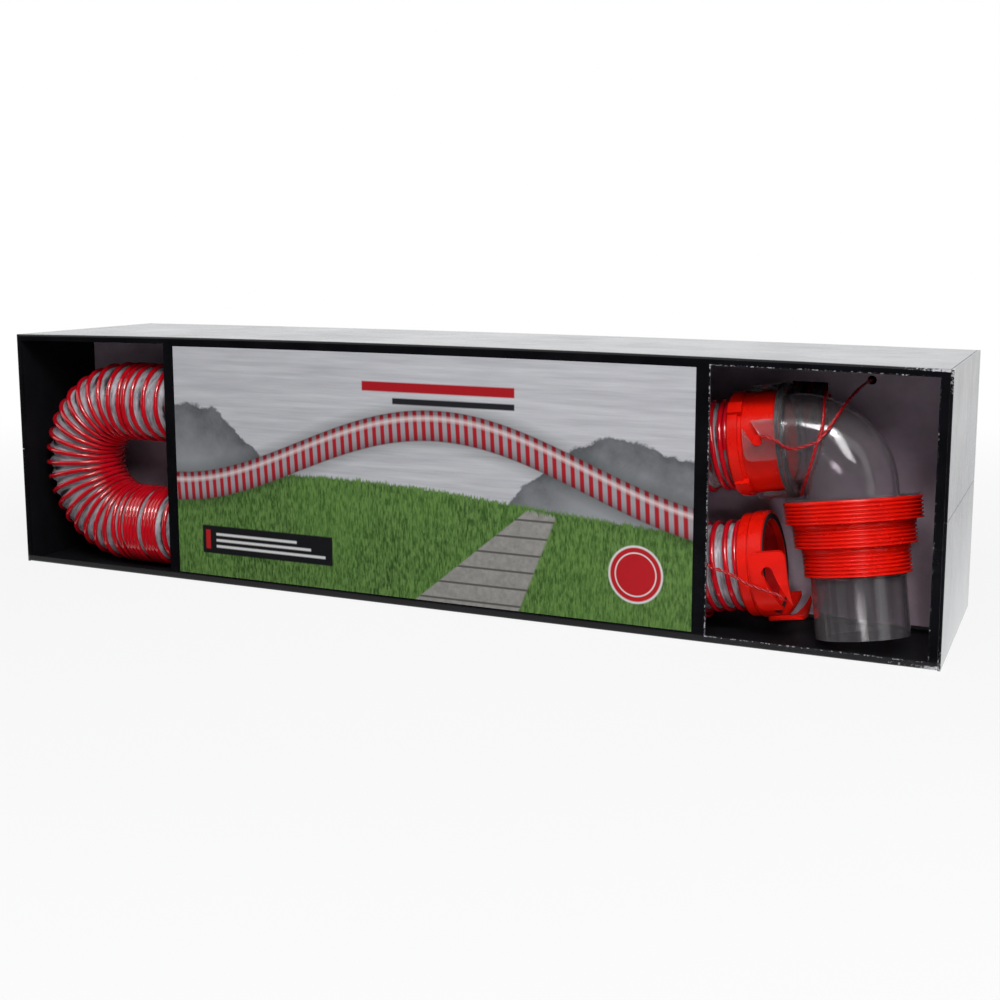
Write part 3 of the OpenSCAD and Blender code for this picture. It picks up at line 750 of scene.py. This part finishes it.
def stretches_of(top, top_dir, low, low_dir, y):
    """The centre line in five stretches: straight, sweep, bend, sweep and straight."""
    top_start, low_start = top - STRAIGHT * top_dir, low - STRAIGHT * low_dir
    bend_top = Vector((BEND_X, y, LOW_LEG + 2 * BEND_RADIUS))
    bend_low = Vector((BEND_X, y, LOW_LEG))
    sag = (top_start.x - BEND_X) / 4
    lift = (low_start.z - LOW_LEG) / max(low_dir.z, 0.1)
    hold = lift if lift > TOUCHING else sag
    along = Vector((2 * sag, 0, 0))

    def sweep(start, start_pull, end_pull, end):
        return [(1 - t) ** 3 * start + 3 * t * (1 - t) ** 2 * start_pull
                + 3 * t * t * (1 - t) * end_pull + t ** 3 * end
                for t in [k / CURVE_POINTS for k in range(CURVE_POINTS + 1)]]

    middle = Vector((BEND_X, y, LOW_LEG + BEND_RADIUS))
    angles = [math.radians(90 + 180 * k / CURVE_POINTS) for k in range(CURVE_POINTS + 1)]
    bend = [middle + BEND_RADIUS * Vector((math.cos(angle), 0, math.sin(angle))) for angle in angles]
    return [
        [top, top_start],
        sweep(top_start, top_start - sag * top_dir, bend_top + along, bend_top),
        bend,
        sweep(bend_low, bend_low + along, low_start - hold * low_dir, low_start),
        [low_start, low],
    ]


def distances(points):
    found = [0.0]
    for start, end in zip(points, points[1:]):
        found.append(found[-1] + (end - start).length)
    return found


def place_at(points, reached, distance):
    """The point at a distance along a line of points."""
    k = 1
    while k < len(points) - 1 and reached[k] < distance:
        k += 1
    share = (distance - reached[k - 1]) / (reached[k] - reached[k - 1])
    return points[k - 1].lerp(points[k], share)


def wound_line(stretches, turns, close_turns, per_turn):
    """Places along the centre line, per_turn of them to each turn of the bead."""
    places = []
    first = 0
    for points, count in zip(stretches, turns):
        reached = distances(points)
        shares = [close_turns.get(first + k) for k in range(count)]
        usual = (count - sum(share for share in shares if share)) / shares.count(None)
        begun = 0.0
        for share in shares:
            for step in range(per_turn):
                gone = (begun + (share or usual) * step / per_turn) / count
                places.append(place_at(points, reached, gone * reached[-1]))
            begun += share or usual
        first += count
    return places + [stretches[-1][-1]]


def direction_at(places, k):
    return (places[min(k + 1, len(places) - 1)] - places[max(k - 1, 0)]).normalized()


def ring_axes(places, k):
    """The front-to-back and outward directions of the ring at place k."""
    direction = direction_at(places, k)
    side = (Vector((0, 1, 0)) - direction.y * direction).normalized()
    return side, side.cross(direction)


def tube_from_curve(name, places, radius, detail, cap=False):
    """A round tube swept along points, as a mesh in place."""
    path = bpy.data.curves.new(name, "CURVE")
    path.dimensions = "3D"
    path.bevel_depth = radius
    path.bevel_resolution = detail
    path.use_fill_caps = cap
    spline = path.splines.new("POLY")
    spline.points.add(len(places) - 1)
    for point, place in zip(spline.points, places):
        point.co = (*place, 1)
    holder = bpy.data.objects.new(name, path)
    scene.collection.objects.link(holder)
    bpy.context.view_layer.update()
    mesh = bpy.data.meshes.new_from_object(holder.evaluated_get(bpy.context.evaluated_depsgraph_get()))
    bpy.data.objects.remove(holder)
    bpy.data.curves.remove(path)
    mesh.name = name
    for face in mesh.polygons:
        face.use_smooth = True
    return mesh


def bead_finish():
    finish, tree, shader, place = new_finish("red_hose_bead")
    cloud, grain = mottled(tree, place, 60.0)
    colour = blend_colours(tree, cloud, (0.48, 0.003, 0.01), (0.66, 0.006, 0.017))
    feed(tree, shader, {"Base Color": colour, "Roughness": 0.11, "Coat Weight": 0.8,
                        "Coat Roughness": 0.05})
    bump(tree, shader, grain, 0.0002, 0.2)
    return finish


def wall_finish():
    """Grey sheeting with streaks and creases that run round the hose, and painted shade that darkens its
    folds.
    """
    finish, tree, shader, place = new_finish("grey_hose_wall")
    unrolled = add_node(tree, "ShaderNodeAttribute", attribute_name="unrolled").outputs["Vector"]
    fold_shade = add_node(tree, "ShaderNodeAttribute", attribute_name="fold_shade").outputs["Fac"]
    streaks, _ = mottled(tree, drawn_out(tree, unrolled, (1.0, 0.16, 0.16)), 330.0)
    cloud, _ = mottled(tree, place, 40.0)
    colour = blend_colours(tree, streaks, (0.1, 0.094, 0.108), (0.55, 0.525, 0.57))
    # Painted shade: the colour goes near black where the fold value is high, for the shadow under each
    # turn of the bead
    painted_crease_shade = calculate(tree, "MULTIPLY", calculate(tree, "POWER", fold_shade, 2.0),
                        calculate(tree, "MULTIPLY_ADD", cloud, 0.5, 0.3))
    colour = blend_colours(tree, remap(tree, painted_crease_shade, 0.22, 0.42), colour, (0.028, 0.026, 0.03))
    feed(tree, shader, {"Base Color": colour, "Roughness": 0.24})
    bump(tree, shader, streaks, 0.0014, 0.5)
    return finish


BEAD_RED = bead_finish()
WALL_GREY = wall_finish()


def make_wall(name, places, per_turn, sag, node):
    """The tube's wall, which sags between turns of the bead by sag and puckers there."""
    mesh = tube_from_curve(name, places, WALL_RADIUS, WALL_SIDES // 4 - 1)
    sides = len(mesh.vertices) // len(places)
    one_turn = per_turn * sides
    taut = [vertex.co.copy() for vertex in mesh.vertices]
    unrolled, folds = [], []
    for index, vertex in enumerate(mesh.vertices):
        ring = index // sides
        other = index + one_turn if index + one_turn < len(taut) else index - one_turn
        slack = min(MOST_SLACK, (taut[other] - taut[index]).length / USUAL_TURN)
        centre = places[ring]
        side, up = ring_axes(places, ring)
        outward = (vertex.co - centre).normalized()
        around = math.atan2(outward.dot(up), -outward.dot(side))
        turn = ring / per_turn
        between = 0.5 - 0.5 * math.cos(math.tau * turn - around)
        rolled_out = Vector((turn * USUAL_TURN, WALL_RADIUS * math.cos(around),
                             WALL_RADIUS * math.sin(around)))
        pucker = noise.noise(rolled_out * PUCKERS)
        depth = between * slack * (sag + PUCKER_DEPTH * pucker)
        vertex.co = centre + outward * (WALL_RADIUS - depth)
        unrolled.extend(rolled_out)
        # How much painted shade the wall's colour gets here, most midway between turns where the wall
        # sags
        folds.append(between * slack * (0.75 + 0.7 * pucker))
    mesh.attributes.new("unrolled", "FLOAT_VECTOR", "POINT").data.foreach_set("vector", unrolled)
    mesh.attributes.new("fold_shade", "FLOAT", "POINT").data.foreach_set("value", folds)
    piece = place_mesh(name, mesh, [WALL_GREY], "carton", "hose", node)
    thick = piece.modifiers.new("wall", "SOLIDIFY")
    thick.thickness = WALL_THICKNESS
    thick.offset = -1


def make_bead(name, places, per_turn, detail, node):
    """The bead: one long spiral rod round the wall."""
    spiral = []
    for k, place in enumerate(places):
        side, up = ring_axes(places, k)
        angle = math.tau * k / per_turn
        spiral.append(place + BEAD_MIDDLE * (-math.cos(angle) * side + math.sin(angle) * up))
    mesh = tube_from_curve(name, spiral, BEAD_RADIUS, detail, True)
    place_mesh(name, mesh, [BEAD_RED], "carton", "hose", node)


front_line = stretches_of(upper_end, upper_dir, lower_end, lower_dir, BEND_Y)
wall_line = wound_line(front_line, FRONT_TURNS, CLOSE_TURNS, WALL_RINGS)
bead_line = wound_line(front_line, FRONT_TURNS, CLOSE_TURNS, BEAD_RINGS)
make_wall("front_hose_wall", wall_line, WALL_RINGS, FRONT_SAG, "front_hose")
make_bead("front_hose_bead", bead_line, BEAD_RINGS, 2, "front_hose")


# ---- Rear hose ----
# A second hose of the same tube and bead lies behind the divider in an even U
# of its own, bonded to its own two cuffs.
REAR_TURNS = (6, 45, 18, 46, 6)
REAR_SAG = 0.0012
REAR_WALL_RINGS = 5
REAR_BEAD_RINGS = 20
ALONG = Vector((1, 0, 0))

rear_low, rear_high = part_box("rear_hose")
rear_y = (rear_low.y + rear_high.y) / 2
rear_top = Vector((0.3571, rear_y, LOW_LEG + 2 * BEND_RADIUS))
rear_bottom = Vector((0.3765, rear_y, 0.0524))
rear_line = stretches_of(rear_top, ALONG, rear_bottom, ALONG, rear_y)
rear_wall_line = wound_line(rear_line, REAR_TURNS, {}, REAR_WALL_RINGS)
rear_bead_line = wound_line(rear_line, REAR_TURNS, {}, REAR_BEAD_RINGS)
make_wall("rear_hose_wall", rear_wall_line, REAR_WALL_RINGS, REAR_SAG, "rear_hose")
make_bead("rear_hose_bead", rear_bead_line, REAR_BEAD_RINGS, 1, "rear_hose")


# ---- End fittings, seals and caps ----
# Injection-moulded red ends that swivel on their cuffs, with soft black seals,
# and black drip caps on the rear hose.
SOFT_MOULD = 0.0005
SOFT_CUFF = 0.0003


def moulded_finish(name, dark, light, rough=0.28, shine=0.27):
    finish, tree, shader, place = new_finish(name)
    cloud, grain = mottled(tree, place, 32.0)
    smear, _ = mottled(tree, place, 9.0, -0.05, 0.06)
    feed(tree, shader, {"Base Color": blend_colours(tree, cloud, dark, light),
                        "Roughness": calculate(tree, "ADD", smear, rough),
                        "Specular IOR Level": shine})
    bump(tree, shader, grain, 0.0002, 0.15)
    return finish


MOULDED_RED = moulded_finish("moulded_red", (0.66, 0.005, 0.002), (0.8, 0.01, 0.003))
CUFF_RED = moulded_finish("cuff_red", (0.4, 0.004, 0.006), (0.5, 0.008, 0.009))
SEAL_BLACK = moulded_finish("seal_rubber", (0.012, 0.012, 0.014), (0.03, 0.03, 0.034), 0.6, 0.3)
CAP_BLACK = moulded_finish("cap_black", (0.018, 0.018, 0.02), (0.035, 0.035, 0.038), 0.35, 0.5)

finished_copy("front_lug_fitting", MOULDED_RED, SOFT_MOULD, "elbow", "fitting")
finished_copy("front_bayonet_fitting", MOULDED_RED, SOFT_MOULD, "front_bayonet_end", "fitting")
finished_copy("rear_lug_fitting", MOULDED_RED, SOFT_MOULD, "rear_lug_end", "fitting")
finished_copy("rear_bayonet_fitting", MOULDED_RED, SOFT_MOULD, "rear_bayonet_end", "fitting")
for cuff in ("front_lug_cuff", "front_bayonet_cuff", "rear_lug_cuff", "rear_bayonet_cuff"):
    finished_copy(cuff, CUFF_RED, SOFT_CUFF, "carton", "cuff")
finished_copy("front_bayonet_seal", SEAL_BLACK, 0.0, "front_bayonet_end", "seal")
finished_copy("rear_bayonet_seal", SEAL_BLACK, 0.0, "rear_bayonet_end", "seal")
finished_copy("elbow_seal", SEAL_BLACK, 0.0, "elbow", "seal")
finished_copy("bayonet_drip_cap", CAP_BLACK, SOFT_MOULD, "bayonet_drip_cap", "cap")
finished_copy("lug_drip_cap", CAP_BLACK, SOFT_MOULD, "rear_bayonet_end", "cap")


# ---- Clear elbow ----
# A swept elbow moulded in clear plastic, with an eared bayonet inlet, a collar
# over the adapter and a plain outlet. Its surface is polished.
ELBOW_CORNER = Vector((0.3772, -0.0497, 0.1768))
OUTLET_AXIS = Vector((0.13775, -0.142629, -0.980144)).normalized()
ELBOW_EDGE = 0.0004
# The drawn lines come in between these distances down the outlet from the corner
LINES_BEGIN = 0.05
LINES_FULL = 0.09


def clear_finish():
    """Clear plastic, faintly hazy, with drawn lines along its outlet."""
    finish, tree, shader, place = new_finish("clear_plastic")
    down = add_node(tree, "ShaderNodeVectorMath", {0: place, 1: OUTLET_AXIS},
                    operation="DOT_PRODUCT").outputs["Value"]
    on_axis = add_node(tree, "ShaderNodeVectorMath", {0: OUTLET_AXIS, 3: down}, operation="SCALE")
    off_axis = add_node(tree, "ShaderNodeVectorMath", {0: place, 1: on_axis.outputs[0]},
                        operation="SUBTRACT")
    lines, _ = mottled(tree, off_axis.outputs[0], 130.0)
    cloud, _ = mottled(tree, place, 30.0)
    corner = OUTLET_AXIS.dot(ELBOW_CORNER)
    drawn = remap(tree, down, corner + LINES_BEGIN, corner + LINES_FULL)
    colour = blend_colours(tree, cloud, (0.87, 0.81, 0.86), (0.98, 0.94, 0.97))
    streaked = blend_colours(tree, lines, (0.55, 0.5, 0.54), (1.0, 0.98, 1.0))
    feed(tree, shader, {"Base Color": blend_colours(tree, drawn, colour, streaked), "Roughness": 0.03,
                        "IOR": 1.47, "Transmission Weight": 0.95})
    bump(tree, shader, lines, 0.0003, 0.3)
    return finish


finished_copy("elbow", clear_finish(), ELBOW_EDGE, "elbow", "clear")


# ---- Thread adapter ----
# A stepped red cup with a coarse rounded thread on each step, moulded in one,
# which turns on the elbow's outlet under its collar.
ADAPTER_TOP = 0.05335
ADAPTER_WALL = 0.0035
ADAPTER_BORE = 0.0392
# Each step's radius, its height and its ridges
ADAPTER_STEPS = ((0.05715, 0.0186, 5), (0.0508, 0.0199, 5), (0.04445, 0.0241, 6))
STEP_EDGE = 0.0005
LAND_END = 0.0004
THREAD_DEPTH = 0.0019
THREAD_PITCH = 0.003175
RIDGE_POINTS = 8
RIDGE_PHASE = 0.3
RIDGE_SHARPNESS = 1.5
ADAPTER_SIDES = 128


def threaded_step(radius, top, height, ridges):
    """Points down the outside of one step: a plain land, then rounded ridges."""
    land = height - ridges * THREAD_PITCH
    found = [(radius - STEP_EDGE, top), (radius, top + STEP_EDGE), (radius, top + land - LAND_END)]
    for k in range(1, ridges * RIDGE_POINTS + 1):
        turned = k / RIDGE_POINTS
        dip = (0.5 + 0.5 * math.cos(math.tau * (turned - RIDGE_PHASE))) ** RIDGE_SHARPNESS
        found.append((radius - THREAD_DEPTH * dip, top + land + THREAD_PITCH * turned))
    return found


def make_adapter():
    """The adapter, turned about the outlet's axis from a closed outline of radius and depth."""
    outline = []
    tops = []
    depth = ADAPTER_TOP
    for radius, height, ridges in ADAPTER_STEPS:
        tops.append(depth)
        outline += threaded_step(radius, depth, height, ridges)
        depth += height
    wide, narrow = ADAPTER_STEPS[0][0] - ADAPTER_WALL, ADAPTER_STEPS[1][0] - ADAPTER_WALL
    outline += [(ADAPTER_BORE, depth), (ADAPTER_BORE, tops[2] - ADAPTER_WALL),
                (narrow, tops[2] - ADAPTER_WALL), (narrow, tops[1] - ADAPTER_WALL),
                (wide, tops[1] - ADAPTER_WALL), (wide, tops[0])]
    across = OUTLET_AXIS.orthogonal().normalized()
    shape = bmesh.new()
    points = [shape.verts.new(ELBOW_CORNER + r * across + d * OUTLET_AXIS) for r, d in outline]
    edges = [shape.edges.new((points[k], points[(k + 1) % len(points)])) for k in range(len(points))]
    bmesh.ops.spin(shape, geom=points + edges, cent=ELBOW_CORNER, axis=OUTLET_AXIS, dvec=(0, 0, 0),
                   angle=math.tau, steps=ADAPTER_SIDES, use_merge=True, use_duplicate=False)
    bmesh.ops.remove_doubles(shape, verts=shape.verts, dist=1e-6)
    bmesh.ops.recalc_face_normals(shape, faces=shape.faces)
    for edge in shape.edges:
        edge.smooth = edge.calc_face_angle(0.0) < math.radians(50)
    for face in shape.faces:
        face.smooth = True
    new_piece("thread_adapter_moulded", shape, [MOULDED_RED], "thread_adapter", "fitting",
              "thread_adapter")


make_adapter()


# ---- Wire ties ----
# Each is two strands of red coated wire twisted together. One holds the elbow
# to the divider, the other goes round the hose and hooks the lower fitting.
STRAND_RADIUS = 0.0008
STRAND_APART = 0.00145
STRAND_LAY = 0.013
STRAND_STEP = 0.0013
CURVE_STEPS = 16
# The lower tie's ring: its first angle, its radius, how far it lies behind the
# hose's end and how much further back it finishes
RING_STEPS = 24
RING_START = -20
RING_RADIUS = 0.043
RING_BACK = 0.038
RING_DRIFT = 0.004


def tie_finish():
    finish, tree, shader, place = new_finish("coated_tie_wire")
    cloud, grain = mottled(tree, place, 120.0)
    colour = blend_colours(tree, cloud, (0.34, 0.006, 0.01), (0.52, 0.012, 0.016))
    feed(tree, shader, {"Base Color": colour, "Roughness": 0.25})
    bump(tree, shader, grain, 0.0001, 0.3)
    return finish


TIE_RED = tie_finish()


def from_end(points):
    """Points given in millimetres from the carton's right end, its front and its floor."""
    return [Vector((carton_half - a / 1000, front_y + b / 1000, c / 1000)) for a, b, c in points]


def rounded_line(points):
    """Evenly spaced places on a smooth curve through the points."""
    dense = []
    for k in range(len(points) - 1):
        p0, p1 = points[max(k - 1, 0)], points[k]
        p2, p3 = points[k + 1], points[min(k + 2, len(points) - 1)]
        for i in range(CURVE_STEPS):
            t = i / CURVE_STEPS
            dense.append(0.5 * (2 * p1 + (p2 - p0) * t + (2 * p0 - 5 * p1 + 4 * p2 - p3) * t * t
                                + (3 * p1 - p0 - 3 * p2 + p3) * t ** 3))
    dense.append(points[-1])
    reached = distances(dense)
    count = max(2, round(reached[-1] / STRAND_STEP))
    return [place_at(dense, reached, reached[-1] * k / count) for k in range(count + 1)]


def twisted_pair(shape, points):
    """Adds two strands, twisted round a smooth line through the points, to a bmesh."""
    places = rounded_line(points)
    normal = (places[1] - places[0]).orthogonal().normalized()
    strands = ([], [])
    for k, place in enumerate(places):
        direction = direction_at(places, k)
        normal = (normal - normal.dot(direction) * direction).normalized()
        angle = math.tau * k * STRAND_STEP / STRAND_LAY
        away = STRAND_APART / 2 * (math.cos(angle) * normal + math.sin(angle) * direction.cross(normal))
        strands[0].append(place + away)
        strands[1].append(place - away)
    for strand in strands:
        shape.from_mesh(tube_from_curve("strand", strand, STRAND_RADIUS, 1, True))


def make_tie(name, lines, node):
    shape = bmesh.new()
    for line in lines:
        twisted_pair(shape, line)
    tie = new_piece(name, shape, [TIE_RED], None, "tie", node)
    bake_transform(tie)


tie_knot = (106.2, 14.4, 175.4)
anchor = from_end([(79.5, 118.2, 218.7), (79.5, 110.2, 218.7), (80.5, 104.2, 218.7), (81.5, 95, 217.5),
                   (83.5, 76, 215), (86.5, 55.6, 210), (90.7, 36, 201.6), (97.2, 20.8, 188.4), tie_knot])
loop = from_end([tie_knot, (103.7, 18.2, 185.6), (103.8, 25.8, 196.4), (105.4, 35.2, 204.5),
                 (107, 47.3, 209.8), (108.2, 61.9, 210.9), (109.4, 79.1, 205), (111.9, 92, 192.5),
                 (115.2, 98.6, 176.5), (118.7, 97.6, 159.7), (121.8, 90, 144.8), (124, 77.1, 134.1),
                 (125, 61.5, 129), (124.6, 47.9, 125.3), (121, 32.7, 130.5), (115.5, 21, 143.7),
                 (110, 14.6, 160.2), tie_knot])
tail = from_end([tie_knot, (115, 13.8, 172), (124.6, 13, 168.8), (129, 10, 169.4), (131.8, 6, 171.4),
                 (134.5, 5.2, 173.6), (139.5, 5, 176.6), (147, 5.6, 178.8), (152, 7, 178.8)])
make_tie("upper_tie_strands", [anchor, loop, tail], "upper_tie")

round_hose = []
for step in range(RING_STEPS + 1):
    angle = math.radians(RING_START - 360 * step / RING_STEPS)
    outward = Vector((-math.sin(angle) * math.sin(lower_tilt), -math.cos(angle),
                      math.sin(angle) * math.cos(lower_tilt)))
    behind = RING_BACK + RING_DRIFT * step / RING_STEPS
    round_hose.append(lower_end - behind * lower_dir + RING_RADIUS * outward)
strand = [round_hose[0]] + from_end([(195.5, 6.6, 65.1), (189.9, 5.6, 64.6), (178.5, 4.2, 62.6),
                                     (169.3, 2.6, 59.5), (159.8, 0.6, 56), (153.5, -0.3, 54),
                                     (144.8, -0.9, 51.9), (131.3, -0.9, 48.7), (128, 0, 45.5),
                                     (126.8, 6, 42.5)])
make_tie("lower_tie_strands", [round_hose, strand],
         "lower_tie")
